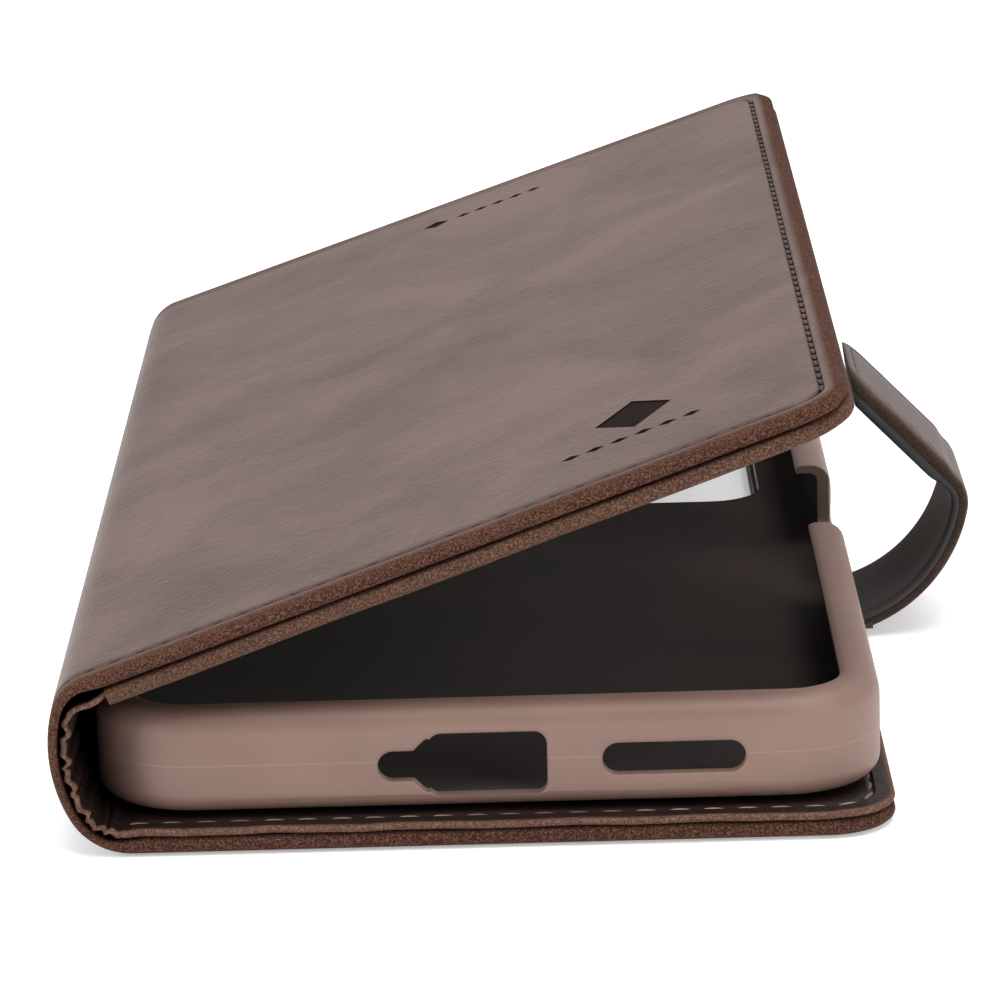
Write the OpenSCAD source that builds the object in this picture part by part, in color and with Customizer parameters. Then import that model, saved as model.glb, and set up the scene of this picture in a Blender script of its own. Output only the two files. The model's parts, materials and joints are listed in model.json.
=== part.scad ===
// Book-style phone wallet case: a soft tray on a padded leather back, a spine that
// folds at both creases, a front cover with card and cash pockets, and a strap whose
// magnetic tab closes over the front cover. Drawn with the cover ajar and the strap
// standing open.
// Origin: centre of the back's resting face, under the middle of the tray.
// +X towards the strap, +Y along the phone from its lower end, +Z up. Millimetres.

/* [Phone] */
// Width of the phone that the tray holds
phone_w = 75; // [62:0.5:90]
// Length of the phone
phone_l = 162; // [135:0.5:195]
// Thickness of the phone
phone_t = 8.4; // [7:0.1:11]

/* [Tray] */
// Thickness of the tray's side walls
tray_wall = 1.5; // [1.2:0.1:2.2]
// Thickness of the tray's floor
tray_floor = 1.2; // [0.8:0.1:2]
// Height of the rim above the screen
rim_h = 0.9; // [0.6:0.1:1.5]
// How far the rim reaches in over the screen
rim_reach = 2.4; // [1:0.1:4]
// Corner radius of the tray, seen from above
tray_r = 10; // [7:0.5:14]
// Edge rounding of the tray's walls
tray_edge = 2.2; // [1:0.1:2.4]

/* [Cut-outs] */
// Width of the charging port cut-out
port_w = 11.7; // [9:0.1:14]
// Height of the charging port cut-out
port_h = 6.5; // [4.5:0.1:7]
// Length of the speaker slot
speaker_l = 14.1; // [8:0.1:18]
// Height of the speaker slot
speaker_h = 3.3; // [1.5:0.1:4]
// Length of the notch for the side key
notch_l = 25; // [12:0.5:35]
// Width of the camera window
window_w = 36; // [20:0.5:46]
// Length of the camera window
window_l = 44; // [20:0.5:60]
// Corner radius of the camera window
window_r = 6; // [3:0.5:9]

/* [Leather] */
// Thickness of the outer leather
leather_t = 0.95; // [0.7:0.01:1.4]
// How far the back stands out beyond the tray's side
edge_margin = 1.1; // [0.6:0.1:4]
// How far the covers stand out beyond the tray's ends
end_margin = 2.6; // [1:0.1:5]
// Corner radius of both covers
cover_r = 7; // [4:0.5:12]
// Opening angle of the front cover at rest
open_angle = 19.4; // [10:0.1:40]

/* [Layers] */
// Thickness of the board in the back
back_board_t = 0.9; // [0.5:0.05:1.5]
// Thickness of the lining on the back
back_lining_t = 0.9; // [0.5:0.05:1.5]
// Thickness of the adhesive pad under the tray
pad_t = 0.5; // [0.3:0.05:1]
// Thickness of the board in the front cover
front_board_t = 0.65; // [0.5:0.05:1.5]
// Thickness of the lining in the front cover
front_lining_t = 0.8; // [0.5:0.05:1.5]
// Thickness of the cash pocket's panel
cash_panel_t = 1.1; // [0.6:0.05:1.5]
// Thickness of one card pocket
card_pocket_t = 0.35; // [0.25:0.05:0.5]

/* [Card pockets] */
// Long side of the card that a pocket takes
card_l = 85.6; // [80:0.1:90]
// Short side of the card
card_w = 54; // [50:0.1:56]
// Step from one pocket's mouth to the next
pocket_step = 8; // [5:0.5:10]

/* [Strap] */
// Width of the strap
strap_w = 18; // [12:0.1:26]
// Place of the strap's middle along the case
strap_y = -5.5; // [-20:0.5:20]
// Thickness of the strap's band
band_t = 1.9; // [1.4:0.1:2.4]
// Thickness of the strap's tab
tab_t = 2.6; // [2.2:0.1:3.6]
// Length of the tab from its fold
tab_l = 19; // [15:0.5:24]
// How far the band bows outwards
band_bow = 2.7; // [1.5:0.1:4]

/* [Stitching] */
// Distance from one stitch to the next
stitch_pitch = 3.3; // [2.5:0.1:5]
// Length of one stitch
stitch_l = 2.1; // [1.5:0.1:2.4]
// Distance of the back's seam from the edge
back_seam = 2.45; // [1.8:0.05:4]
// Distance of the front cover's seam from the edge
front_seam = 3.6; // [2:0.1:5]

/* [Hidden] */
$fn = 64;
eps = 0.01;   // overshoot of a cut past the face that it opens

// Colours
leather_brown = "#7f6b64";
edge_brown = "#5b4338";
lining_brown = "#4a3831";
tray_taupe = "#9b7f74";
thread_brown = "#4a3a33";
charcoal = "#2e2a28";
board_grey = "#8c8478";
steel = "#b8bcc0";

// Tray
tray_w = phone_w + 2 * tray_wall;
tray_l = phone_l + 2 * tray_wall;
tray_h = tray_floor + phone_t + rim_h;
back_shell_t = leather_t + back_board_t;
back_t = back_shell_t + back_lining_t;
tray_z = back_t + pad_t;
tray_top = tray_z + tray_h;

// Covers
cover_l = tray_l + 2 * end_margin;
back_right = tray_w / 2 + edge_margin;
front_shell_t = leather_t + front_board_t;
front_t = front_shell_t + front_lining_t + cash_panel_t;
closed_gap = 0.85;      // between the tray's rim and the closed cover
run_gap = 0.35;         // between pieces that swing past each other

// Lower crease: the spine turns about it on the back
spine_out = 2.2;        // from the tray's side to the lower crease
crease_a = [-tray_w / 2 - spine_out, 2.3];
corner_r = 6.95;        // outer radius of the leather's bend under the spine
corner_in = 5.9;         // from the lower crease in to the bend's axis
corner_c = [crease_a[0] + corner_in, corner_r];
corner_end = 222;       // where the back's share of the bend ends, in degrees

// Upper crease: the front cover turns about it on the spine
crease_up = 1.6;        // from the crease up to the closed cover's top
crease_b = [-tray_w / 2, tray_top + closed_gap + front_t - crease_up];
front_x0 = 0.3;         // from the crease to the front leather
front_over = 0.65;      // how far the closed cover stands out past the back
front_x1 = back_right + front_over - crease_b[0];
closed_top = crease_b[1] + crease_up;
swing_r = norm([front_x1, max(crease_up, front_t - crease_up)]);

// Heights in the front cover, from the crease, square to the cover
top_z = crease_up;
shell_z = top_z - front_shell_t;
lining_z = shell_z - front_lining_t;
panel_z = lining_z - cash_panel_t;

// Spine: an arc between two points, bowed outwards
foot_offset = [0, 1.3];         // from the lower crease
head_offset = [-3.6, -1.9];     // from the upper crease
spine_foot = crease_a + foot_offset;
spine_head = crease_b + head_offset;
spine_bow = 1.05;
spine_lining_t = 0.7;
spine_chord = norm(spine_head - spine_foot);
spine_r = spine_chord * spine_chord / (8 * spine_bow) + spine_bow / 2;
spine_dir = (spine_head - spine_foot) / spine_chord;
spine_c = (spine_foot + spine_head) / 2
    + (spine_r - spine_bow) * [spine_dir[1], -spine_dir[0]];

// Strap: the band turns on the back, the tab turns on the band
strap_rise = 51.9;      // slope of the band at rest
strap_close = 36;       // turn of the band until it stands beside the closed case
tab_inner = 1.2;        // from the tab's fold to its inner face
tab_slope = 134.4;      // direction of the tab at rest
foot_gap = 0.9;         // from the back's edge to the fold
foot_z = 1.5;
strap_foot = [back_right + foot_gap, foot_z];
band_l = (closed_top + run_gap + tab_inner - strap_foot[1]) / sin(strap_rise + strap_close);
band_dir = [cos(strap_rise), sin(strap_rise)];
strap_fold = strap_foot + band_l * band_dir;
band_r = band_l * band_l / (8 * band_bow) + band_bow / 2;
band_c = (strap_foot + strap_fold) / 2
    + (band_r - band_bow) * [-band_dir[1], band_dir[0]];
band_out = 0.8;         // from the folds out to the band's outer face
band_leather_t = 1;
band_root_gap = 1.9;
band_fold_gap = 0.8;
tab_root_gap = 1.2;
tab_leather_t = 1.4;

// Magnet in the tab and the steel plate that it pulls
magnet_l = 9;
magnet_w = 12;
magnet_t = 1.2;
magnet_u = 4;           // from the tab's fold to the magnet
plate_w = 13;
plate_in = 21;          // from the cover's free edge to the plate's far end
plate_x = front_x1 - plate_in;

// Seams
thread_w = 0.5;
thread_h = 0.3;
groove_w = 0.9;
tab_seam = 1.5;
tab_r = 4;              // corner radius of the tab's tip
tab_start = 2;          // from the tab's root to its first stitch
pocket_seam = 1.5;
pocket_thread_h = 0.15;

// Board insets
board_inset = 3;
anchor_l = 12;
anchor_t = back_board_t;
anchor_out = 2.1;       // how far the tongue stands out beyond the back
pad_inset = 6;
lining_over = 2.2;      // how far the back's lining runs on over the bend

// Card pockets, in the front cover's own plane
rim_gap = 1.1;          // between the pockets and the tray's rim when closed
card_play = 7;          // room for the card and the seam along its long side
pocket_end = tray_w / 2 - tray_wall - rim_reach - rim_gap - crease_b[0];
pocket_l = card_l + card_play;
pocket_r = 6;
function pocket_mouth(i) = pocket_end - card_w + (i - 1) * pocket_step;
function pocket_z(i) = panel_z - i * card_pocket_t;

// Cut-outs, measured from the tray's middle
port_drop = 0.9;        // how far the openings sit below the phone's middle
port_z = tray_z + tray_floor + phone_t / 2 - port_drop;
port_x = -0.1;
port_r = 1.3;
mic_h = 3.1;
mic_reach = 4.6;        // how far the microphone's lobe stands out from the port
speaker_x = 18.2;
notch_y = -4;
notch_z = tray_z + 3.2;
notch_r = 1.6;
keys_y = 26;
keys_l = 23;
keys_h = 3.4;
keys_proud = 0.4;
window_side = 7;        // from the window to the tray's side
window_end = 9.5;       // from the window to the tray's upper end
window_x = tray_w / 2 - window_side - window_w / 2;
window_y = tray_l / 2 - window_end - window_l / 2;

// ---------- helpers ----------

// Rectangle with round corners, centred
module rounded(w, l, r) {
    square([w - 2 * r, l], center = true);
    square([w, l - 2 * r], center = true);
    for (sx = [-1, 1], sy = [-1, 1])
        translate([sx * (w / 2 - r), sy * (l / 2 - r)]) circle(r);
}

// Panel from x0 to x1 with round corners on the right only
module panel(x0, x1, l, r) {
    translate([x0, -l / 2]) square([x1 - r - x0, l]);
    translate([x0, r - l / 2]) square([x1 - x0, l - 2 * r]);
    for (s = [-1, 1]) translate([x1 - r, s * (l / 2 - r)]) circle(r);
}

// The same panel, drawn in from its three free edges
module inset_panel(x0, x1, l, r, d) {
    panel(x0, x1 - d, l - 2 * d, max(r - d, 0.5));
}

module slab(z0, z1) {
    translate([0, 0, z0]) linear_extrude(z1 - z0) children();
}

// Seam path at distance d inside the panel's three free edges
function seam_run(x0, x1, r) = x1 - r - x0;
function seam_arc(r, d) = (r - d) * PI / 2;
function seam_length(x0, x1, l, r, d) =
    2 * seam_run(x0, x1, r) + 2 * seam_arc(r, d) + l - 2 * r;
function seam_at(s, x0, x1, l, r, d) =
    let (run = seam_run(x0, x1, r), arc = seam_arc(r, d), side = l - 2 * r)
    s < run ? [x0 + s, d - l / 2, 0] :
    s < run + arc ?
        let (a = (s - run) / arc * 90)
        [x1 - r + (r - d) * sin(a), r - l / 2 - (r - d) * cos(a), a] :
    s < run + arc + side ? [x1 - d, s - run - arc - side / 2, 90] :
    s < run + 2 * arc + side ?
        let (a = (s - run - arc - side) / arc * 90)
        [x1 - r + (r - d) * cos(a), l / 2 - r + (r - d) * sin(a), 90 + a] :
    [x1 - r - (s - run - 2 * arc - side), l / 2 - d, 180];

module seam_row(x0, x1, l, r, d, h) {
    count = floor(seam_length(x0, x1, l, r, d) / stitch_pitch);
    step = seam_length(x0, x1, l, r, d) / count;
    for (i = [0 : count - 1]) {
        p = seam_at((i + 0.5) * step, x0, x1, l, r, d);
        translate([p[0], p[1], h / 2]) rotate(p[2])
            cube([stitch_l, thread_w, h], center = true);
    }
}

module seam_groove(x0, x1, l, r, d) {
    difference() {
        inset_panel(x0, x1, l, r, d - groove_w / 2);
        inset_panel(x0 - 1, x1, l, r, d + groove_w / 2);
    }
}

// Curved sheet: part of a tube whose axis runs along Y
module arc_sheet(c, r_in, r_out, a0, a1, y, w) {
    translate([c[0], y + w / 2, c[1]]) rotate([90, 0, 0]) rotate([0, 0, a0])
        rotate_extrude(angle = a1 - a0) translate([r_in, 0]) square([r_out - r_in, w]);
}

module window_outline(grow = 0) {
    translate([window_x, window_y])
        rounded(window_w + 2 * grow, window_l + 2 * grow, window_r + grow);
}

// Moves what is drawn about the upper crease to the cover's place at rest
module on_cover() {
    translate([crease_b[0], 0, crease_b[1]]) rotate([0, -open_angle, 0]) children();
}

// Moves what is drawn about the strap's fold to the tab's place: x runs to the tip,
// and z points to the inner face
module on_tab() {
    translate([strap_fold[0], strap_y, strap_fold[1]]) rotate([0, -tab_slope, 0])
        children();
}

// ---------- back ----------

module board_outline() {
    inset_panel(corner_c[0] + board_inset, back_right, cover_l, cover_r, board_inset);
}

module anchor_outline(gap = 0) {
    translate([back_right + anchor_out - anchor_l / 2, strap_y])
        square([anchor_l + 2 * gap, strap_w + 2 * gap], center = true);
}

// Section of the leather's bend, about the bend's own centre
module bend_section() {
    intersection() {
        difference() {
            circle(corner_r);
            circle(corner_r - leather_t);
        }
        polygon([[0, 0], 3 * corner_r * [cos(corner_end), sin(corner_end)],
            [-3 * corner_r, -3 * corner_r], [0, -3 * corner_r]]);
    }
}

// Section of the whole sheet: the flat with its raised edge, and the bend
module back_section() {
    translate(corner_c) bend_section();
    translate([corner_c[0], 0]) square([back_right - corner_c[0], back_shell_t]);
}

module back_leather() {
    color(leather_brown) difference() {
        intersection() {
            rotate([90, 0, 0]) linear_extrude(cover_l, center = true) back_section();
            slab(-eps, 2 * corner_r)
                panel(corner_c[0] - corner_r - 1, back_right, cover_l, cover_r);
        }
        slab(leather_t, back_shell_t + eps) board_outline();
        slab(leather_t, back_shell_t + eps) anchor_outline();
        slab(-eps, back_shell_t + eps) window_outline();
    }
}

module back_board() {
    color(board_grey) difference() {
        slab(leather_t, back_shell_t) board_outline();
        slab(leather_t - eps, back_shell_t + eps) anchor_outline();
        slab(leather_t - eps, back_shell_t + eps) window_outline();
    }
}

lining_x0 = corner_c[0] - lining_over;

module back_lining() {
    color(lining_brown) difference() {
        slab(back_shell_t, back_t) panel(lining_x0, back_right, cover_l, cover_r);
        slab(back_t - thread_h, back_t + eps)
            seam_groove(lining_x0, back_right, cover_l, cover_r, back_seam);
        slab(back_shell_t - eps, back_t + eps) window_outline();
    }
}

module back_stitches() {
    color(thread_brown) translate([0, 0, back_t - thread_h])
        seam_row(lining_x0, back_right, cover_l, cover_r, back_seam, thread_h);
}

module adhesive_pad() {
    color(board_grey) difference() {
        slab(back_t, tray_z) rounded(tray_w - 2 * pad_inset, tray_l - 2 * pad_inset, tray_r);
        slab(back_t - eps, tray_z + eps) window_outline();
    }
}

// Tongue of the strap, glued and sewn in between the leather and the lining
module strap_anchor() {
    color(charcoal) slab(leather_t, leather_t + anchor_t) anchor_outline();
}

// ---------- tray ----------

// Section of the tray's wall: x inwards from the outer face, y upwards
module wall_profile() {
    difference() {
        union() {
            translate([tray_edge, 0]) square([tray_r - tray_edge, tray_h]);
            translate([0, tray_edge]) square([tray_r, tray_h - 2 * tray_edge]);
            for (h = [tray_edge, tray_h - tray_edge])
                translate([tray_edge, h]) circle(tray_edge);
        }
        translate([tray_wall, tray_floor]) square([tray_r, phone_t]);
        translate([tray_wall + rim_reach, tray_floor]) square([tray_r, tray_h]);
    }
}

module wall_run(l) {
    rotate([90, 0, 0]) linear_extrude(l, center = true) wall_profile();
}

module tray_shell() {
    for (s = [0, 1]) mirror([s, 0, 0]) {
        translate([-tray_w / 2, 0, 0]) wall_run(tray_l - 2 * tray_r);
        for (t = [0, 1]) mirror([0, t, 0])
            translate([tray_w / 2 - tray_r, tray_l / 2 - tray_r, 0])
                rotate_extrude(angle = 90)
                    translate([tray_r, 0]) mirror([1, 0]) wall_profile();
    }
    for (t = [0, 1]) mirror([0, t, 0])
        translate([0, -tray_l / 2, 0]) rotate([0, 0, 90]) wall_run(tray_w - 2 * tray_r);
    slab(0, tray_floor) square([tray_w - 2 * tray_r, tray_l - 2 * tray_r], center = true);
}

// Charging port with the microphone's lobe on its left, and the speaker's slot
module port_outline() {
    left = port_x - port_w / 2;
    translate([port_x, 0]) rounded(port_w, port_h, port_r);
    translate([left - mic_reach / 2, 0])
        rounded(mic_reach + port_h / 2, mic_h, mic_h / 2 - eps);
    polygon([[left + eps, port_h / 2 - 0.4], [left - 1.6, mic_h / 2],
        [left - 1.6, -mic_h / 2], [left + eps, 0.4 - port_h / 2]]);
    translate([speaker_x, 0.2]) rounded(speaker_l, speaker_h, speaker_h / 2 - eps);
}

module phone_tray() {
    color(tray_taupe) difference() {
        union() {
            translate([0, 0, tray_z]) tray_shell();
            translate([tray_w / 2 - tray_wall / 2, keys_y, port_z + port_drop])
                rotate([90, 0, 90]) linear_extrude(tray_wall / 2 + keys_proud)
                    rounded(keys_l, keys_h, keys_h / 2 - eps);
        }
        translate([0, tray_wall + rim_reach - tray_l / 2, port_z]) rotate([90, 0, 0])
            linear_extrude(tray_wall + rim_reach + 1) port_outline();
        translate([tray_w / 2 - tray_wall - rim_reach - 1, notch_y, 0])
            rotate([90, 0, 90]) linear_extrude(tray_wall + rim_reach + 2)
                translate([0, notch_z + tray_h / 2])
                    rounded(notch_l, tray_h, notch_r);
        slab(tray_z - eps, tray_z + tray_floor + eps) window_outline();
    }
}

// ---------- spine ----------

function spine_angle(p) = atan2(p[1] - spine_c[1], p[0] - spine_c[0]) + 360;
spine_a0 = spine_angle(spine_head) - 360;
spine_a1 = spine_angle(spine_foot);

module spine_sheet(r_in, r_out) {
    arc_sheet(spine_c, r_in, r_out, spine_a0, spine_a1, 0, cover_l);
}

module spine_leather() {
    color(leather_brown) spine_sheet(spine_r - leather_t, spine_r);
}

module spine_lining() {
    color(lining_brown)
        spine_sheet(spine_r - leather_t - spine_lining_t, spine_r - leather_t);
}

// ---------- front cover ----------

module front_board_outline() {
    inset_panel(front_x0 + board_inset, front_x1, cover_l, cover_r, board_inset);
}

module plate_outline() {
    translate([plate_x, strap_y - plate_w / 2]) square([magnet_l + 2, plate_w]);
}

module front_leather() {
    color(leather_brown) on_cover() difference() {
        slab(shell_z, top_z) panel(front_x0, front_x1, cover_l, cover_r);
        slab(shell_z - eps, shell_z + front_board_t) front_board_outline();
        slab(top_z - thread_h, top_z + eps)
            seam_groove(front_x0, front_x1, cover_l, cover_r, front_seam);
    }
}

module front_board() {
    color(board_grey) on_cover() difference() {
        slab(shell_z, shell_z + front_board_t) front_board_outline();
        slab(shell_z - eps, shell_z + front_board_t + eps) plate_outline();
    }
}

// Steel plate let into the board, where the tab's magnet lands
module catch_plate() {
    color(steel) on_cover() slab(shell_z, shell_z + front_board_t) plate_outline();
}

inner_x0 = 2.6;   // the inner layers start further from the crease

module front_lining() {
    color(lining_brown) on_cover()
        slab(lining_z, shell_z) panel(inner_x0, front_x1, cover_l, cover_r);
}

module front_stitches() {
    color(thread_brown) on_cover() translate([0, 0, top_z - thread_h])
        seam_row(front_x0, front_x1, cover_l, cover_r, front_seam, thread_h);
}

// Full-length panel, open along the spine, that holds notes behind the cards
module cash_pocket_panel() {
    color(edge_brown) on_cover()
        slab(panel_z, lining_z) panel(inner_x0, front_x1, cover_l, cover_r);
}

module card_pocket(i) {
    color(leather_brown) on_cover() difference() {
        slab(pocket_z(i), pocket_z(i - 1))
            panel(pocket_mouth(i), pocket_end, pocket_l, pocket_r);
        slab(pocket_z(i) - eps, pocket_z(i) + pocket_thread_h)
            seam_groove(pocket_mouth(i), pocket_end, pocket_l, pocket_r, pocket_seam);
    }
}

module card_pocket_1() { card_pocket(1); }
module card_pocket_2() { card_pocket(2); }
module card_pocket_3() { card_pocket(3); }

// Each stitch lies on the pocket that is uppermost where it is
module pocket_stitches() {
    x0 = pocket_mouth(1);
    total = seam_length(x0, pocket_end, pocket_l, pocket_r, pocket_seam);
    count = floor(total / stitch_pitch);
    color(thread_brown) on_cover() for (i = [0 : count - 1]) {
        p = seam_at((i + 0.5) * total / count,
            x0, pocket_end, pocket_l, pocket_r, pocket_seam);
        level = len([for (k = [1 : 3]) if (p[0] > pocket_mouth(k) + stitch_l / 2) k]);
        if (level > 0)
            translate([p[0], p[1], pocket_z(level) + pocket_thread_h / 2]) rotate(p[2])
                cube([stitch_l, thread_w, pocket_thread_h], center = true);
    }
}

// ---------- strap ----------

function band_angle(p) = atan2(p[1] - band_c[1], p[0] - band_c[0]);
band_a0 = band_angle(strap_foot) + band_root_gap / band_r * 180 / PI;
band_a1 = band_angle(strap_fold) - band_fold_gap / band_r * 180 / PI;

module strap_leather() {
    r = band_r + band_out;
    color(leather_brown)
        arc_sheet(band_c, r - band_leather_t, r, band_a0, band_a1, strap_y, strap_w);
}

module strap_lining() {
    r = band_r + band_out - band_leather_t;
    color(charcoal) arc_sheet(band_c, r - (band_t - band_leather_t), r,
        band_a0, band_a1, strap_y, strap_w);
}

// Space that the front cover's free edge sweeps, with its clearance
module cover_swing() {
    translate([crease_b[0], strap_y, crease_b[1]]) rotate([90, 0, 0])
        cylinder(r = swing_r + run_gap, h = strap_w + 2, center = true, $fn = 180);
}

module tab_outline() {
    panel(tab_root_gap, tab_l, strap_w, tab_r);
}

module magnet_outline() {
    translate([magnet_u, -magnet_w / 2]) square([magnet_l, magnet_w]);
}

tab_mid = tab_inner - (tab_t - tab_leather_t);
tab_outer = tab_inner - tab_t;

module tab_leather() {
    color(leather_brown) difference() {
        on_tab() difference() {
            slab(tab_outer, tab_mid) tab_outline();
            slab(tab_mid - magnet_t / 2, tab_mid + eps) magnet_outline();
            slab(tab_outer - eps, tab_outer + thread_h)
                seam_groove(tab_root_gap + tab_start, tab_l, strap_w, tab_r, tab_seam);
        }
        cover_swing();
    }
}

module tab_lining() {
    color(charcoal) difference() {
        on_tab() difference() {
            slab(tab_mid, tab_inner) tab_outline();
            slab(tab_mid - eps, tab_mid + magnet_t / 2) magnet_outline();
        }
        cover_swing();
    }
}

module tab_magnet() {
    color(steel) on_tab()
        slab(tab_mid - magnet_t / 2, tab_mid + magnet_t / 2) magnet_outline();
}

module tab_stitches() {
    color(thread_brown) on_tab() translate([0, 0, tab_outer])
        seam_row(tab_root_gap + tab_start, tab_l, strap_w, tab_r, tab_seam, thread_h);
}

back_leather();
back_board();
back_lining();
back_stitches();
adhesive_pad();
phone_tray();
strap_anchor();
spine_leather();
spine_lining();
front_leather();
front_board();
front_lining();
front_stitches();
cash_pocket_panel();
card_pocket_1();
card_pocket_2();
card_pocket_3();
pocket_stitches();
catch_plate();
strap_leather();
strap_lining();
tab_leather();
tab_lining();
tab_magnet();
tab_stitches();
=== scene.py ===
# %% [markdown]
# Phone wallet case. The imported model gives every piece's place, the bodies that move
# and the creases they turn about, so it is loaded first and nothing is fitted by eye.
# %% Load the frame
import json
import math

import bmesh
import bpy
from mathutils import Matrix, Vector


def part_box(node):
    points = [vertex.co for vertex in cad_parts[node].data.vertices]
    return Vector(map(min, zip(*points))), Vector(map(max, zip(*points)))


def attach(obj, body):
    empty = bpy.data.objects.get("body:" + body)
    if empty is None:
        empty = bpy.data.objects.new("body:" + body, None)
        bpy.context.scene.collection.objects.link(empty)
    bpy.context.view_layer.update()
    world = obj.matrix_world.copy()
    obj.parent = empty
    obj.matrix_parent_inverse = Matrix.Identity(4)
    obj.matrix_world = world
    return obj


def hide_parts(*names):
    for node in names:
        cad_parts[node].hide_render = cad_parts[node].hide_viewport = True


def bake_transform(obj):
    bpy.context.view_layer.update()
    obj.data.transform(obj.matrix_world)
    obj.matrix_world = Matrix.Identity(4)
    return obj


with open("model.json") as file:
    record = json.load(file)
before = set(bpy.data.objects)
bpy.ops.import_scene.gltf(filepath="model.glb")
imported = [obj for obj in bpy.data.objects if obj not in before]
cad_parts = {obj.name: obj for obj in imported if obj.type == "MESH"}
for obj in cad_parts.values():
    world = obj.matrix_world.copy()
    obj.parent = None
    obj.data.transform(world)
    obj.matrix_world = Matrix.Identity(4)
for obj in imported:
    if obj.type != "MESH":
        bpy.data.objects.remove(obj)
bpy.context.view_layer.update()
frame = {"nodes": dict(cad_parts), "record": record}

# %% [markdown]
# The camera stands low in front of the case's lower end with a long lens. It is built
# from three axes, so its small roll is exact.
# %% Camera
MM = 0.001
scene = bpy.context.scene
CAMERA_PLACE = Vector((4.2, -598.1, 169.7)) * MM
CAMERA_AIM = Vector((1.45, -2.5, 13.55)) * MM
CAMERA_ROLL = math.radians(1.58)


def camera_turn(place, aim, roll):
    ahead = (aim - place).normalized()
    level = ahead.cross(Vector((0, 0, 1))).normalized()
    above = level.cross(ahead)
    right = math.cos(roll) * level - math.sin(roll) * above
    up = math.sin(roll) * level + math.cos(roll) * above
    return Matrix((right, up, -ahead)).transposed().to_4x4()


bpy.ops.object.camera_add()
camera = bpy.context.object
camera.matrix_world = (Matrix.Translation(CAMERA_PLACE)
                       @ camera_turn(CAMERA_PLACE, CAMERA_AIM, CAMERA_ROLL))
camera.data.lens = 198.4
camera.data.clip_end = 50
scene.camera = camera
print("camera at", tuple(round(v, 3) for v in camera.location))

# %% [markdown]
# A white sweep and large soft lights give the even, bright surroundings that leather
# needs: its sheen is mostly the reflection of what is round it. The floor is a hair
# below the case's underside, so that the two never share a plane.
# %% Floor, world and lights


def linear(code, alpha=1.0):
    """sRGB hex colour as the linear values that a shader wants."""
    parts = [int(code[i:i + 2], 16) / 255 for i in (1, 3, 5)]
    return tuple(c / 12.92 if c <= 0.04045 else ((c + 0.055) / 1.055) ** 2.4
                 for c in parts) + (alpha,)


def node(tree, kind, inputs=None, **settings):
    """Adds one node with its settings, then its values or links."""
    item = tree.nodes.new(kind)
    for key, value in settings.items():
        setattr(item, key, value)
    for key, value in (inputs or {}).items():
        if isinstance(value, bpy.types.NodeSocket):
            tree.links.new(value, item.inputs[key])
        else:
            item.inputs[key].default_value = value
    return item


def new_material(name):
    material = bpy.data.materials.new(name)
    material.use_nodes = True
    material.node_tree.nodes.clear()
    return material, material.node_tree


def area_light(name, place, aim, size, power, colour="#ffffff"):
    light = bpy.data.lights.new(name, "AREA")
    light.shape = "RECTANGLE"
    light.size, light.size_y = size
    light.energy = power
    light.color = linear(colour)[:3]
    lamp = bpy.data.objects.new(name, light)
    scene.collection.objects.link(lamp)
    lamp.matrix_world = Matrix.Translation(place) @ camera_turn(Vector(place), Vector(aim), 0)
    return lamp


scene.view_settings.view_transform = "Standard"
ROOM_DIM = 0.16
ROOM_BRIGHT = 0.7
world = bpy.data.worlds.new("white_room")
world.use_nodes = True
tree = world.node_tree
tree.nodes.clear()
way = node(tree, "ShaderNodeTexCoord").outputs["Generated"]
way = node(tree, "ShaderNodeSeparateXYZ", {0: way})
back = node(tree, "ShaderNodeMath", {0: way.outputs["Z"], 1: 1.1, 2: way.outputs["Y"]},
            operation="MULTIPLY_ADD")
glow = node(tree, "ShaderNodeMapRange", {"Value": back.outputs[0], "From Min": -0.2,
                                         "From Max": 1.1, "To Min": ROOM_DIM,
                                         "To Max": ROOM_BRIGHT}, interpolation_type="SMOOTHSTEP")
room = node(tree, "ShaderNodeBackground", {"Color": linear("#fbfcff"),
                                           "Strength": glow.outputs[0]})
node(tree, "ShaderNodeOutputWorld", {"Surface": room.outputs[0]})
scene.world = world
area_light("top_softbox", (0.1, -0.2, 0.9), (0, -0.05, 0), (0.8, 0.7), 8)
area_light("side_softbox", (0.75, -0.75, 0.5), (0, -0.05, 0.01), (0.5, 0.5), 3.4)
area_light("left_softbox", (-0.9, -0.35, 0.35), (0, 0, 0.02), (0.6, 0.5), 5.2)

floor_paint, tree = new_material("matt_white_sweep")
surface = node(tree, "ShaderNodeBsdfPrincipled", {
    "Base Color": linear("#f2f3f4"), "Roughness": 0.9,
    "Emission Color": linear("#ffffff"), "Emission Strength": 0.36})
node(tree, "ShaderNodeOutputMaterial", {"Surface": surface.outputs[0]})
bpy.ops.mesh.primitive_plane_add(size=8, location=(0, 0, -0.05 * MM))
floor = bpy.context.object
floor.name = "floor"
floor.data.materials.append(floor_paint)
print("stage ready")

# %% [markdown]
# The outer leather is one strip that runs under the phone, up the spine and over the
# cover. Its path is a chain of tangent arcs between the two creases. A place on the
# strip is s mm along it from the middle of the spine, y along the phone, and a height
# from the outer face. Every layer is modelled flat in those terms and then wrapped.
# %% Creases and the path of the outer face
joints = {joint["name"]: joint for joint in frame["record"]["behaviour"]["joints"]}


def joint_place(name):
    x, _, z = joints[name]["pos_m"]
    return Vector((x, z)) / MM


def box_mm(name):
    low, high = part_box(name)
    return Vector(low) / MM, Vector(high) / MM


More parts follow.
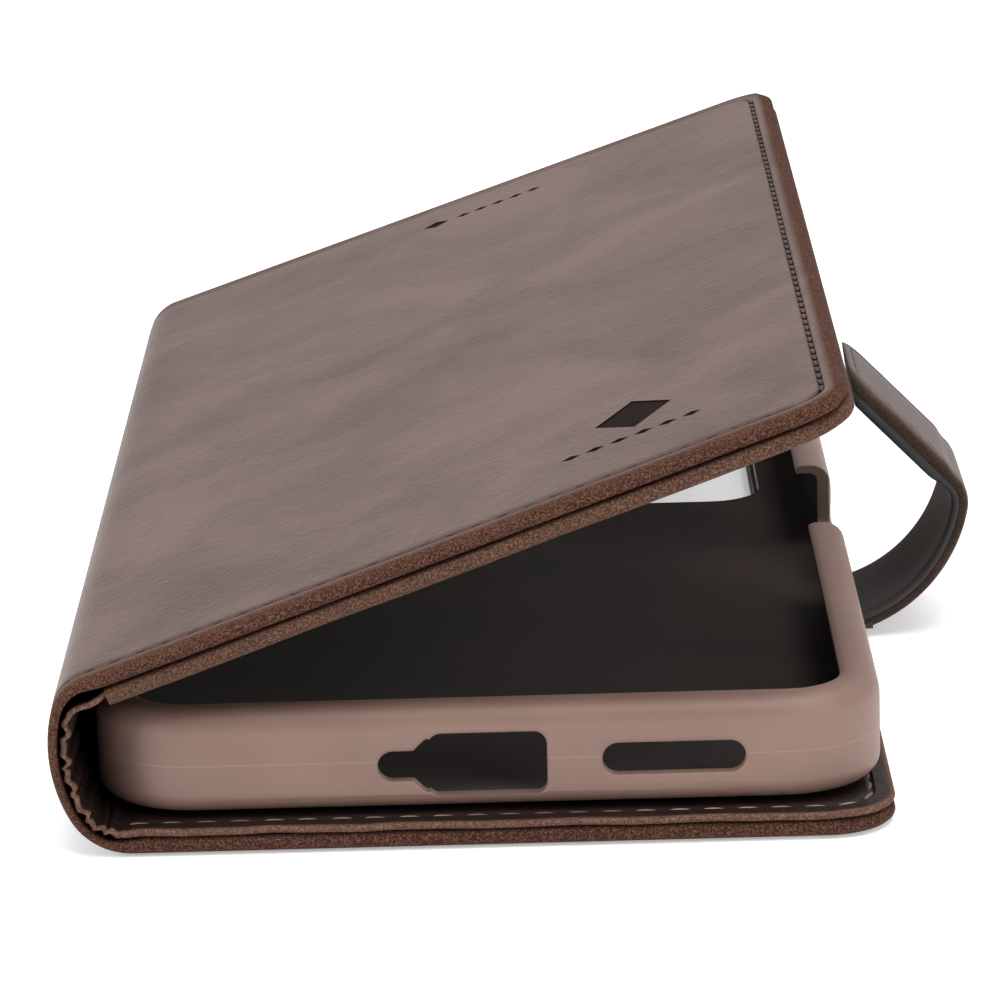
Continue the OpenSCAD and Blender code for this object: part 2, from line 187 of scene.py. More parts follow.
LOW_CREASE = joint_place("spine_fold")
TOP_CREASE = joint_place("cover_fold")
REST_ANGLE = -math.radians(joints["cover_fold"]["range_deg"][0])
COVER_ALONG = Vector((math.cos(REST_ANGLE), math.sin(REST_ANGLE)))
COVER_UP = Vector((-math.sin(REST_ANGLE), math.cos(REST_ANGLE)))
COVER_RISE = 1.6
BEND_R = 6.95
SPINE_BOW = 1.05
_, back_high = box_mm("back_leather")
HALF = back_high.y
BACK_EDGE = back_high.x
foot = LOW_CREASE + Vector((0, 1.3))
head = TOP_CREASE + Vector((-3.6, -1.9))
chord = head - foot
SPINE_R = chord.length ** 2 / (8 * SPINE_BOW) + SPINE_BOW / 2
inward = Vector((chord.y, -chord.x)).normalized()
SPINE_C = (foot + head) / 2 + (SPINE_R - SPINE_BOW) * inward
BEND_C = Vector((SPINE_C.x - math.sqrt((SPINE_R - BEND_R) ** 2 - (SPINE_C.y - BEND_R) ** 2),
                 BEND_R))


def turn_of(way):
    return math.atan2(way.y, way.x) % (2 * math.pi)


low_turn = turn_of(BEND_C - SPINE_C)
head_turn = turn_of(head - SPINE_C)
mid_turn = (low_turn + head_turn) / 2
top_turn = math.pi / 2 + REST_ANGLE
cover_line = TOP_CREASE + COVER_RISE * COVER_UP
fillet_r = COVER_UP.dot(cover_line - head) / (1 - math.cos(head_turn - top_turn))
fillet_c = head - fillet_r * Vector((math.cos(head_turn), math.sin(head_turn)))
S_LOW = -(low_turn - mid_turn) * SPINE_R
S_BEND = S_LOW - (1.5 * math.pi - low_turn) * BEND_R
S_HEAD = (mid_turn - head_turn) * SPINE_R
S_TOP = S_HEAD + (head_turn - top_turn) * fillet_r
top_start = fillet_c + fillet_r * COVER_UP
COVER_START = (top_start - cover_line).dot(COVER_ALONG)
COVER_OVER = 0.65
COVER_END = BACK_EDGE + COVER_OVER - TOP_CREASE.x


def on_back(x):
    """Place along the strip of a point x on the flat back."""
    return S_BEND - (x - BEND_C.x)


def on_cover(x):
    """Place along the strip of a point x from the upper crease on the cover."""
    return S_TOP + x - COVER_START


def case_path(s):
    """Point of the outer face at s, and its outward direction."""
    if s < S_BEND:
        return Vector((BEND_C.x + S_BEND - s, 0)), Vector((0, -1))
    if s < S_LOW:
        turn, centre, radius = 1.5 * math.pi - (s - S_BEND) / BEND_R, BEND_C, BEND_R
    elif s < S_HEAD:
        turn, centre, radius = mid_turn - s / SPINE_R, SPINE_C, SPINE_R
    elif s < S_TOP:
        turn, centre, radius = head_turn - (s - S_HEAD) / fillet_r, fillet_c, fillet_r
    else:
        return top_start + (s - S_TOP) * COVER_ALONG, COVER_UP
    out = Vector((math.cos(turn), math.sin(turn)))
    return centre + radius * out, out


S_BACK_EDGE = on_back(BACK_EDGE)
S_COVER_EDGE = on_cover(COVER_END)
print("strip from", round(S_BACK_EDGE, 1), "to", round(S_COVER_EDGE, 1), "mm")

# %% [markdown]
# A padded leather panel is modelled from a plane: its free corners are rounded by a
# vertex bevel, and a chain of insets draws the rolled edge, the seam's groove and the
# board's recess, each ring at its own distance from the edge and its own depth.
# %% Helpers for panels


def settle():
    bpy.ops.object.select_all(action="DESELECT")


def take(piece):
    settle()
    piece.select_set(True)
    bpy.context.view_layer.objects.active = piece


def edit(piece, kind="FACE"):
    take(piece)
    bpy.ops.object.mode_set(mode="EDIT")
    bpy.ops.mesh.select_mode(type=kind)


def pick(piece, kind, test):
    """In edit mode, selects the items of one kind that pass the test."""
    bpy.ops.mesh.select_all(action="DESELECT")
    mesh = bmesh.from_edit_mesh(piece.data)
    for item in getattr(mesh, kind):
        if test(item):
            item.select_set(True)
    mesh.select_flush_mode()
    bmesh.update_edit_mesh(piece.data)


def close_edit():
    bpy.ops.object.mode_set(mode="OBJECT")


def rings(piece, side, profile):
    """Insets the face on one side by a profile of (distance from the edge, depth)."""
    pick(piece, "faces", lambda face: face.normal.z * side > 0.9)
    for (d0, z0), (d1, z1) in zip(profile, profile[1:]):
        bpy.ops.mesh.inset(thickness=d1 - d0, depth=(z0 - z1) * side)


OVERRUN = 12


def panel(name, join, free, half, corner, outer, inner):
    """Flat padded panel from its joined end to its free end, outer face upwards.
    With no corner radius the free end is cut off square as well."""
    way = math.copysign(1, free - join)
    start = join - way * OVERRUN
    end = free if corner else free + way * OVERRUN
    settle()
    bpy.ops.mesh.primitive_plane_add(size=1, location=((start + end) / 2, 0, -outer[0][1]))
    piece = bpy.context.object
    piece.name = name
    piece.scale = (abs(end - start), 2 * half, 1)
    bpy.ops.object.transform_apply(location=True, rotation=True, scale=True)
    edit(piece, "VERT")
    if corner:
        pick(piece, "verts", lambda v: (v.co.x - start) * way > 1)
        bpy.ops.mesh.bevel(offset=corner, segments=12, affect="VERTICES")
    bpy.ops.mesh.select_mode(type="FACE")
    bpy.ops.mesh.select_all(action="SELECT")
    bpy.ops.mesh.extrude_region_move(
        TRANSFORM_OT_translate={"value": (0, 0, outer[0][1] - inner[0][1])})
    bpy.ops.mesh.select_all(action="SELECT")
    bpy.ops.mesh.normals_make_consistent(inside=False)
    rings(piece, 1, outer)
    rings(piece, -1, inner)
    for place, out in ((join, -way), (free, way))[:1 if corner else 2]:
        bpy.ops.mesh.select_all(action="SELECT")
        bpy.ops.mesh.bisect(plane_co=(place, 0, 0), plane_no=(out, 0, 0),
                            clear_outer=True, use_fill=True)
    close_edit()
    return piece


def slice_at(piece, way, places):
    """Cuts new edges across the piece, square to the way, at each place."""
    edit(piece)
    for place in places:
        bpy.ops.mesh.select_all(action="SELECT")
        bpy.ops.mesh.bisect(plane_co=Vector(way) * place, plane_no=way)
    close_edit()


def spaced(start, end, step):
    count = max(1, math.ceil(abs(end - start) / step))
    return [start + (end - start) * i / count for i in range(1, count)]


def rim_distance(piece, join, free, half, corner, mouth=False):
    """Keeps each point's distance from the free edges, in mm, for the finish. mouth
    counts the edge at join too."""
    way = math.copysign(1, free - join)
    rim = piece.data.attributes.new("rim", "FLOAT", "POINT")
    for vertex in piece.data.vertices:
        from_end = (free - vertex.co.x) * way if corner else half
        from_side = half - abs(vertex.co.y)
        if from_end < corner and from_side < corner:
            rim.data[vertex.index].value = corner - math.hypot(corner - from_end,
                                                               corner - from_side)
        else:
            rim.data[vertex.index].value = min(from_end, from_side)
        if mouth:
            from_mouth = (vertex.co.x - join) * way
            rim.data[vertex.index].value = min(rim.data[vertex.index].value, from_mouth)


def smooth_step(low, high, value):
    t = min(1, max(0, (value - low) / (high - low)))
    return t * t * (3 - 2 * t)


print("panel helpers ready")

# %% [markdown]
# Leather that has been lifted by its free edge stays a little twisted: the cover's near
# corner stands slightly higher than its far corner. Every layer of the cover follows
# the same twist, so that they stay together.
# %% Wrapping the flat layers round the case
TWIST_NEAR = 0.45
TWIST_FAR = -0.8
SKIN = 0.95


def twist_at(s, y):
    share = min(1, max(0, (s - S_TOP) / (S_COVER_EDGE - S_TOP)))
    far = (y + HALF) / (2 * HALF)
    return share * (TWIST_NEAR + (TWIST_FAR - TWIST_NEAR) * far)


def wrap(piece, layer=None):
    """Moves a flat piece to its place on the case, in metres. layer changes (s, y, h) first."""
    for vertex in piece.data.vertices:
        s, y, height = vertex.co
        if layer:
            s, y, height = layer(s, y, height)
        point, out = case_path(s)
        point = point + (height + twist_at(s, y)) * out
        vertex.co = Vector((point.x, y, point.y)) * MM
    piece.data.update()


def soften(piece, angle=38):
    take(piece)
    bpy.ops.object.shade_smooth_by_angle(angle=math.radians(angle))


def dress(piece, material):
    piece.data.materials.clear()
    piece.data.materials.append(material)
    print(piece.name, len(piece.data.polygons), "faces")


print("bend from", round(S_BEND, 2), "to", round(S_TOP, 2))

# %% [markdown]
# Vegetable-tanned cowhide, waxed and burnished: a brown body colour with cloudy darker
# patches, a fine pebble grain just under a millimetre across, and a soft waxy gloss that
# greys it where it reflects the room. Outside the seam the leather is pared and rolled,
# so its nap shows: matt, browner and speckled. The rim attribute says where that is.
# %% Leather
GRAIN = 1 / 0.0008
CLOUDS = 1 / 0.022
NAP = 1 / 0.00022


def leather(name, light, dark, nap_light, nap_dark, gloss=0.46, nap_from=3.3, painted_groove_shade=True,
            shine=0.45, nap_fade=0.1):
    material, tree = new_material(name)
    place = node(tree, "ShaderNodeTexCoord").outputs["Object"]
    rim = node(tree, "ShaderNodeAttribute", attribute_name="rim").outputs["Fac"]
    clouds = node(tree, "ShaderNodeTexNoise", {"Vector": place, "Scale": CLOUDS, "Detail": 5.0,
                                               "Roughness": 0.62, "Distortion": 0.6})
    body = node(tree, "ShaderNodeValToRGB", {"Fac": clouds.outputs["Fac"]})
    body.color_ramp.elements[0].position = 0.33
    body.color_ramp.elements[0].color = linear(dark)
    body.color_ramp.elements[1].position = 0.66
    body.color_ramp.elements[1].color = linear(light)
    grain = node(tree, "ShaderNodeTexVoronoi", {"Vector": place, "Scale": GRAIN,
                                                "Randomness": 0.9}, feature="SMOOTH_F1")
    pores = node(tree, "ShaderNodeMapRange", {"Value": grain.outputs["Distance"],
                                              "From Min": 0.15, "From Max": 0.75,
                                              "To Min": 0.0, "To Max": 0.16})
    body = node(tree, "ShaderNodeMixRGB", {"Fac": pores.outputs[0],
                                           "Color1": body.outputs["Color"],
                                           "Color2": linear(dark)}, blend_type="MULTIPLY")
    nap = node(tree, "ShaderNodeTexNoise", {"Vector": place, "Scale": NAP, "Detail": 3.0,
                                            "Roughness": 0.75})
    nap_colour = node(tree, "ShaderNodeValToRGB", {"Fac": nap.outputs["Fac"]})
    nap_colour.color_ramp.elements[0].position = 0.45
    nap_colour.color_ramp.elements[0].color = linear(nap_dark)
    nap_colour.color_ramp.elements[1].position = 0.67
    nap_colour.color_ramp.elements[1].color = linear(nap_light)
    wander = node(tree, "ShaderNodeMath", {0: clouds.outputs["Fac"], 1: 0.5, 2: rim},
                  operation="MULTIPLY_ADD")
    napped = node(tree, "ShaderNodeMapRange", {"Value": wander.outputs[0],
                                               "From Min": nap_from + 0.4,
                                               "From Max": nap_from - nap_fade})
    colour = node(tree, "ShaderNodeMixRGB", {"Fac": napped.outputs[0],
                                             "Color1": body.outputs["Color"],
                                             "Color2": nap_colour.outputs["Color"]})
    # Painted shade: a band round the seam (SEAM_IN from the edge) is darkened towards #1f1410. It
    # stands for the shade in the seam's groove, over the modelled groove.
    if painted_groove_shade:
        off = node(tree, "ShaderNodeMath", {0: rim, 1: SEAM_IN}, operation="SUBTRACT")
        off = node(tree, "ShaderNodeMath", {0: off.outputs[0]}, operation="ABSOLUTE")
        shade = node(tree, "ShaderNodeMapRange", {"Value": off.outputs[0], "From Min": 0.40,
                                                  "From Max": 0.22})
        colour = node(tree, "ShaderNodeMixRGB", {"Fac": shade.outputs[0],
                                                 "Color1": colour.outputs["Color"],
                                                 "Color2": linear("#1f1410")})
    rough = node(tree, "ShaderNodeMapRange", {"Value": napped.outputs[0], "To Min": gloss,
                                              "To Max": 0.9})
    height = node(tree, "ShaderNodeMixRGB", {"Fac": napped.outputs[0],
                                             "Color1": grain.outputs["Distance"],
                                             "Color2": nap.outputs["Fac"]})
    relief = node(tree, "ShaderNodeMapRange", {"Value": napped.outputs[0], "To Min": 0.62,
                                               "To Max": 0.6})
    bump = node(tree, "ShaderNodeBump", {"Height": height.outputs["Color"],
                                         "Strength": relief.outputs[0],
                                         "Distance": 0.00018})
    glint = node(tree, "ShaderNodeMapRange", {"Value": napped.outputs[0], "To Min": shine,
                                              "To Max": 0.12})
    surface = node(tree, "ShaderNodeBsdfPrincipled", {
        "Base Color": colour.outputs["Color"], "Roughness": rough.outputs[0],
        "Normal": bump.outputs["Normal"], "Specular IOR Level": glint.outputs[0]})
    node(tree, "ShaderNodeOutputMaterial", {"Surface": surface.outputs[0]})
    return material


SEAM_IN = 3.6
waxed_cowhide = leather("waxed_cowhide", "#674e45", "#4d3930", "#724f40", "#341e16",
                       nap_from=2.7, nap_fade=1.3)
print("leather ready")

# %% [markdown]
# The other finishes: drummed pigskin lining, near black in the folds; moulded TPU with
# a satin skin; waxed polyester thread with a twist; smooth coated microfibre inside the
# strap; grey board, foam pad and zinc-plated steel, which show only when the case is
# taken apart.
# %% Plain finishes


def finish(name, colour, second, rough, grain_mm, relief, spread=(0.4, 0.65), metal=0.0,
           sheen=0.0, parting=None):
    """A finish with one noise that shifts its colour and one that gives its relief."""
    material, tree = new_material(name)
    place = node(tree, "ShaderNodeTexCoord").outputs["Object"]
    patch = node(tree, "ShaderNodeTexNoise", {"Vector": place, "Scale": 60.0, "Detail": 4.0})
    tint = node(tree, "ShaderNodeValToRGB", {"Fac": patch.outputs["Fac"]})
    tint.color_ramp.elements[0].position = spread[0]
    tint.color_ramp.elements[0].color = linear(second)
    tint.color_ramp.elements[1].position = spread[1]
    tint.color_ramp.elements[1].color = linear(colour)
    grain = node(tree, "ShaderNodeTexNoise", {"Vector": place, "Scale": 1 / (grain_mm * MM),
                                              "Detail": 3.0, "Roughness": 0.6})
    bump = node(tree, "ShaderNodeBump", {"Height": grain.outputs["Fac"], "Strength": relief,
                                         "Distance": grain_mm * MM * 0.25})
    skin = tint.outputs["Color"]
    if parting:
        level = node(tree, "ShaderNodeSeparateXYZ", {0: place}).outputs["Z"]
        off = node(tree, "ShaderNodeMath", {0: level, 1: parting}, operation="SUBTRACT")
        off = node(tree, "ShaderNodeMath", {0: off.outputs[0]}, operation="ABSOLUTE")
        line = node(tree, "ShaderNodeMapRange", {"Value": off.outputs[0], "From Min": 0.0001,
                                                 "From Max": 0.00004, "To Max": 0.12})
        skin = node(tree, "ShaderNodeMixRGB", {"Fac": line.outputs[0], "Color1": skin,
                                               "Color2": linear("#c9ada0")}).outputs["Color"]
    surface = node(tree, "ShaderNodeBsdfPrincipled", {
        "Base Color": skin, "Roughness": rough, "Metallic": metal,
        "Normal": bump.outputs["Normal"], "Sheen Weight": sheen})
    node(tree, "ShaderNodeOutputMaterial", {"Surface": surface.outputs[0]})
    return material


drummed_lining = leather("drummed_lining_leather", "#2a1b16", "#1c1310", "#8d6c5c", "#543b31",
                         gloss=0.5, nap_from=0.55, painted_groove_shade=False, shine=0.25)
pared_edge = leather("pared_panel_edge", "#3a2b25", "#2a1f1b", "#7d5d4b", "#432f26",
                     gloss=0.6, nap_from=1.4, painted_groove_shade=False)
pocket_leather = leather("card_pocket_leather", "#5f4f47", "#473a34", "#33241c", "#21160f",
                         gloss=0.5, nap_from=1.0, painted_groove_shade=False)
strap_leather_skin = leather("strap_cowhide", "#634f47", "#4b3b34", "#4a3a33", "#33271f",
                             gloss=0.5, nap_from=0.4, painted_groove_shade=False)
satin_tpu = finish("satin_moulded_tpu", "#85695c", "#7e6358", 0.5, 0.5, 0.06, parting=0.0083)
# Painted shade: the tray's inside gets a dark brown flocking colour that stands for the deep shade
# under the cover.
painted_shade_flock = finish("brown_flocking", "#35221c", "#2a1b16", 0.95, 0.25, 0.5, sheen=0.05)
microfibre = finish("coated_microfibre", "#2e2a28", "#262322", 0.55, 0.4, 0.2, sheen=0.05)
cover_thread = finish("waxed_brown_thread", "#5a382d", "#412820", 0.6, 0.25, 0.5)
lining_thread = finish("waxed_taupe_thread", "#a08b80", "#6a574e", 0.6, 0.25, 0.5)
card_board = finish("pressed_grey_board", "#57504a", "#4a443f", 0.9, 0.5, 0.4)
foam_pad = finish("closed_cell_foam_tape", "#2f2c2a", "#262322", 0.85, 0.4, 0.5)
plated_steel = finish("zinc_plated_steel", "#b8bcc0", "#a3a8ad", 0.35, 0.3, 0.1, metal=1.0)
sintered_magnet = finish("nickel_plated_magnet", "#c3c4c6", "#aeb0b3", 0.25, 0.3, 0.05,
                         metal=1.0)
for name, material in (("back_board", card_board), ("adhesive_pad", foam_pad),
                       ("strap_anchor", microfibre), ("catch_plate", plated_steel),
                       ("tab_magnet", sintered_magnet)):
    for place in frame["nodes"][name].material_slots:
        place.material = material
print("finishes ready")

# %% [markdown]
# The outer leather is one hide on the real case. A piece can follow only two bodies, so
# it is parted across the middle of the spine, where it never bends. The two halves
# share one profile, and meet flush.
# %% Outer leather
CORNER = 7
ROLLED_EDGE = [(0, 0.92), (0.04, 0.80), (0.17, 0.56), (0.45, 0.32), (0.9, 0.14), (1.5, 0.05),
               (2.2, 0.04), (2.9, 0.12), (3.3, 0.27), (3.5, 0.46), (3.66, 0.46),
               (3.8, 0.24), (3.98, 0.05), (4.3, 0.0), (5.4, 0.0)]
FRONT_INSIDE = [(0, 1.00), (0.06, 1.16), (0.3, 1.42), (0.8, 1.56), (1.4, 1.6), (3.0, 1.6),
                (3.08, SKIN)]
BACK_INSIDE = [(0, 1.00), (0.10, 1.30), (0.38, 1.60), (0.9, 1.80), (1.5, 1.85), (3.0, 1.85),
               (3.08, SKIN)]
SPINE_T = 1.05


def thinned(full):
    """Leather of full thickness on the flats and of a single skin round the spine."""
    def layer(s, y, height):
        flat = smooth_step(S_BEND + 4, S_BEND - 2, s) if s < 0 else \
            smooth_step(S_TOP - 1.5, S_TOP + 3, s)
        share = (SPINE_T - SKIN) / (full - SKIN)
        share += (1 - share) * flat
        return s, y, height if height > -SKIN else -SKIN + (height + SKIN) * share
    return layer


ROLL_IN = 1.1


def narrow_roll(s):
    """Brings the seam closer to the edge along the cover's free end."""
    end = S_COVER_EDGE - s
    return s + ROLL_IN * smooth_step(0.6, 3.2, end) * smooth_step(11, 4.4, end)


def front_layer(s, y, height):
    s, y, height = thinned(1.6)(s, y, height)
    return narrow_roll(s), y, height


def outer_leather(name, free, inside, full):
    piece = panel(name, 0, free, HALF, CORNER, ROLLED_EDGE, inside)
    bent = S_TOP + 2 if free > 0 else S_BEND - 2
    slice_at(piece, (1, 0, 0), spaced(0, bent, 0.55) + [bent])
    slice_at(piece, (1, 0, 0), spaced(bent, free, 9))
    slice_at(piece, (0, 1, 0), spaced(-HALF, HALF, 12))
    return piece


def cut(piece, cutter, keep_material=False):
    take(piece)
    cutting = piece.modifiers.new("cut", "BOOLEAN")
    cutting.operation = "DIFFERENCE"
    cutting.solver = "EXACT"
    cutting.object = cutter
    if keep_material:
        cutting.material_mode = "TRANSFER"
    bpy.ops.object.modifier_apply(modifier="cut")


def discard(*pieces):
    for piece in pieces:
        bpy.data.meshes.remove(piece.data)


def block(name, low, high, corner, segments=10):
    """A block whose upright edges are rounded."""
    settle()
    middle = [(a + b) / 2 for a, b in zip(low, high)]
    bpy.ops.mesh.primitive_cube_add(size=1, location=middle)
    piece = bpy.context.object
    piece.name = name
    piece.scale = [b - a for a, b in zip(low, high)]
    bpy.ops.object.transform_apply(location=True, rotation=True, scale=True)
    edit(piece, "EDGE")
    tall = 0.9 * (high[2] - low[2])
    pick(piece, "edges", lambda e: abs(e.verts[0].co.z - e.verts[1].co.z) > tall)
    bpy.ops.mesh.bevel(offset=corner, segments=segments, affect="EDGES")
    close_edit()
    return piece


WINDOW_MIDDLE = (14.0, 51.0)
WINDOW_SIZE = (36.0, 44.0)
WINDOW_R = 6
TURNED = 0.4


def window_cutter(middle_x, low, high, turned=0.0):
    """The window, drawn in by the leather that is turned over the board's edge."""
    x, y = middle_x, WINDOW_MIDDLE[1]
    w, l = (size / 2 - turned for size in WINDOW_SIZE)
    return block("window_cutter", (x - w, y - l, low), (x + w, y + l, high), WINDOW_R - turned)


back_hide = outer_leather("back_cowhide", S_BACK_EDGE, BACK_INSIDE, 1.85)
opening = window_cutter(on_back(WINDOW_MIDDLE[0]), -4, 1, TURNED)
cut(back_hide, opening)
discard(opening)
front_hide = outer_leather("front_cowhide", S_COVER_EDGE, FRONT_INSIDE, 1.6)
print("hides:", len(back_hide.data.polygons), len(front_hide.data.polygons))

# %% [markdown]
# Two blind-stamped marks sit on the cover: a lozenge over a dashed line near the lower
# corner, and a smaller pair near the far edge. They are cut about 0.14 mm deep with a
# darker floor, as a heated stamp leaves them.
# %% Stamped marks
scorched = leather("scorched_leather", "#211612", "#1a110e", "#211612", "#1a110e", gloss=0.8,
                   nap_from=-5, painted_groove_shade=False, shine=0.05)
STAMP_DEPTH = 0.14


def lozenge(x, y, w, l):
    settle()
    bpy.ops.mesh.primitive_cylinder_add(vertices=4, radius=0.5, depth=2 * STAMP_DEPTH,
                                        location=(on_cover(x), y, 0))
    stamp = bpy.context.object
    stamp.scale = (w, l, 1)
    bpy.ops.object.transform_apply(location=True, rotation=True, scale=True)
    return stamp


stamps = [lozenge(58.2, -61.3, 8.2, 11.0)]
stamps += [lozenge(51.4 + 2.55 * i, -69.9, 2.1, 1.5) for i in range(6)]
stamps += [lozenge(35.6, 72, 3.4, 3.0)]
stamps += [lozenge(39.2 + 2.3 * i, 72, 1.9, 1.5) for i in range(5)]
settle()
for stamp in stamps:
    stamp.select_set(True)
bpy.context.view_layer.objects.active = stamps[0]
bpy.ops.object.join()
stamps[0].data.materials.append(scorched)
front_hide.data.materials.append(waxed_cowhide)
cut(front_hide, stamps[0], keep_material=True)
discard(stamps[0])
for piece, free in ((back_hide, S_BACK_EDGE), (front_hide, S_COVER_EDGE)):
    rim_distance(piece, 0, free, HALF, CORNER)
back_hide.data.materials.append(waxed_cowhide)
wrap(back_hide, thinned(1.85))
wrap(front_hide, front_layer)
for piece in (back_hide, front_hide):
    soften(piece)
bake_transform(back_hide)
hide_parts("back_leather", "spine_leather")
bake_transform(front_hide)
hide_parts("front_leather")
print("marks:", len(front_hide.material_slots), "materials on the front")

# %% [markdown]
# The lining is glued flat on the back, sewn round its edge, and gathers into small
# scallops behind the spine, because it has less way to go than the leather outside it.
# At the top it runs under the cover's leather and its edge is tucked into the panel.
# %% Lining
LINING_T = 0.72
GLUED_T = 0.9
SCALLOP = 1.62
SCALLOP_H = 0.78


def scallops(s, y):
    """How far the gathered lining stands off the leather at s."""
    drift = 0.35 * math.sin(y / 23) + 0.2 * math.sin(y / 9 + 1)
    wave = abs(math.sin(math.pi * (s + drift) / SCALLOP + 0.35 * math.sin(s * 0.8)))
    size = 0.72 + 0.28 * math.sin(s * 1.9 + 0.6) + 0.12 * math.sin(y / 6)
    ends = smooth_step(S_BEND + 0.5, S_BEND + 3, s) * smooth_step(S_HEAD + 2, S_HEAD - 0.5, s)
    return SCALLOP_H * size * wave ** 0.7 * ends


def lining_layer(s, y, height):
    rise = smooth_step(S_BEND + 5, S_BEND - 1, s)
    under = SPINE_T + 0.1 + (1.86 - SPINE_T - 0.1) * rise + scallops(s, y)
    top = smooth_step(S_TOP - 1, S_TOP + 3.5, s)
    under += (1.62 - SPINE_T - 0.1) * top
    dip = smooth_step(S_HEAD - 1, S_TOP - 0.3, s) * smooth_step(S_TOP + 3.5, S_TOP - 0.5, s)
    under += 1.15 * dip
    inset = 0.3 + 1.5 * smooth_step(S_TOP + 0.5, S_TOP + 4, s)
    thick = GLUED_T / LINING_T if rise > 0.99 else 1 + (GLUED_T / LINING_T - 1) * rise
    edge = max(0, abs(y) - HALF + 2) / 2
    sway = 0.12 * math.sin(s / 3.1) + 0.08 * math.sin(s / 1.3 + 2)
    lift = 0.07 * math.sin(s / 2.3 + 1) + 0.05 * math.sin(s / 0.9)
    return (s, y * (HALF - inset) / HALF + math.copysign(sway * edge, y),
            height * thick - under - (0.07 + lift) * edge * rise)


LINING_OUT = [(0, 0.34), (0.1, 0.12), (0.35, 0.0), (1.2, 0.0)]
LINING_IN = [(0, 0.38), (0.06, 0.50), (0.2, 0.58), (0.5, 0.61), (1.2, 0.63), (1.9, LINING_T),
             (2.15, 0.52), (2.35, 0.52), (2.6, LINING_T), (3.4, LINING_T)]


def lining(name, free):
    piece = panel(name, 0, free, HALF, CORNER, LINING_OUT, LINING_IN)
    bent = S_TOP + 4 if free > 0 else S_BEND - 2
    slice_at(piece, (1, 0, 0), spaced(0, bent, 0.27) + [bent])
    slice_at(piece, (1, 0, 0), spaced(bent, free, 3 if free < 0 else 12))
    slice_at(piece, (0, 1, 0), spaced(-HALF, HALF, 7))
    return piece


back_lining = lining("back_lining_leather", S_BACK_EDGE)
opening = window_cutter(on_back(WINDOW_MIDDLE[0]), -4, 1, TURNED)
cut(back_lining, opening)
discard(opening)
front_lining = lining("front_lining_leather", S_COVER_EDGE - 1.4)
for piece, free in ((back_lining, S_BACK_EDGE), (front_lining, S_COVER_EDGE - 1.4)):
    rim_distance(piece, 0, free, HALF, CORNER)
    wrap(piece, lining_layer)
    dress(piece, drummed_lining)
    soften(piece, 50)
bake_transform(back_lining)
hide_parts("back_lining", "spine_lining")
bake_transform(front_lining)
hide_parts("front_lining")

# %% [markdown]
# The second layer under the cover is the cash panel. Its edge is turned up round the
# lining, so it looks as thick as the leather above, with a dark gap between them. Its
# end by the spine is cut square and left raw. The board is stiff grey card.
# %% Cash panel and board
PANEL_START = 1.9
PANEL_OUT = [(0, 2.5), (0.05, 2.2), (0.25, 1.9), (0.6, 1.76), (1.0, 1.72), (1.3, 1.74),
             (1.36, 2.42)]
PANEL_IN = [(0, 2.62), (0.08, 2.98), (0.35, 3.3), (0.8, 3.46), (1.5, 3.5), (5, 3.5)]
cash_panel = panel("cash_panel", on_cover(PANEL_START), S_COVER_EDGE, HALF, CORNER,
                   PANEL_OUT, PANEL_IN)
slice_at(cash_panel, (1, 0, 0), spaced(on_cover(PANEL_START), S_COVER_EDGE, 8))
slice_at(cash_panel, (0, 1, 0), spaced(-HALF, HALF, 6))
rim_distance(cash_panel, on_cover(PANEL_START), S_COVER_EDGE, HALF, CORNER)


def uneven_edge(s, y, height):
    """Hand-pared edges wander a little, in and out and up and down."""
    near = smooth_step(HALF - 2, HALF, abs(y))
    sway = 0.10 * math.sin(s / 4.3) + 0.07 * math.sin(s / 1.9 + 1)
    return s, y + math.copysign(near * sway, -y), height + near * 0.5 * sway


wrap(cash_panel, uneven_edge)
dress(cash_panel, pared_edge)
soften(cash_panel)
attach(cash_panel, "front_cover")
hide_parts("cash_pocket_panel")

BOARD_IN = 3.15
front_board = panel("front_cover_board", on_cover(3.3), S_COVER_EDGE - BOARD_IN, HALF - BOARD_IN,
                    CORNER - BOARD_IN, [(0, 1.1), (0.1, 0.97), (1, 0.97)],
                    [(0, 1.4), (0.1, 1.57), (1, 1.57)])
slice_at(front_board, (1, 0, 0), spaced(on_cover(3.3), S_COVER_EDGE, 10))
slice_at(front_board, (0, 1, 0), spaced(-HALF, HALF, 12))
wrap(front_board)
dress(front_board, card_board)
soften(front_board)
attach(front_board, "front_cover")
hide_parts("front_board")

# %% [markdown]
# Three stepped card pockets are sewn on the inside of the cover. Each is a thin pared
# piece with a burnished mouth, and each covers all but the mouth of the one before.
# %% Card pockets
POCKET_T = 0.35
POCKET_END = 39 - 1.5 - 2.4 - 1.1 - TOP_CREASE.x
CARD_W = 54
POCKET_STEP = 8
POCKET_HALF = (85.6 + 7) / 2


def pocket_mouth(i):
    return on_cover(POCKET_END - CARD_W + (i - 1) * POCKET_STEP)


for i in (1, 2, 3):
    top = 3.5 + (i - 1) * POCKET_T
    outer = [(0, top + 0.12), (0.06, top + 0.02), (0.3, top)]
    inner = [(0, top + 0.2), (0.06, top + 0.31), (0.3, top + POCKET_T), (1.2, top + POCKET_T),
             (1.4, top + POCKET_T - 0.1), (1.6, top + POCKET_T - 0.1), (1.8, top + POCKET_T)]
    pocket = panel("card_pocket_leather_%d" % i, pocket_mouth(i), on_cover(POCKET_END),
                   POCKET_HALF, 6, outer, inner)
    slice_at(pocket, (1, 0, 0), spaced(pocket_mouth(i), on_cover(POCKET_END), 6))
    slice_at(pocket, (1, 0, 0), [pocket_mouth(i) + 1.2, pocket_mouth(i) + 1.8])
    slice_at(pocket, (0, 1, 0), spaced(-POCKET_HALF, POCKET_HALF, 8))
    rim_distance(pocket, pocket_mouth(i), on_cover(POCKET_END), POCKET_HALF, 6, mouth=True)
    wrap(pocket)
    dress(pocket, pocket_leather)
    soften(pocket)
    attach(pocket, "front_cover")
    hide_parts("card_pocket_%d" % i)

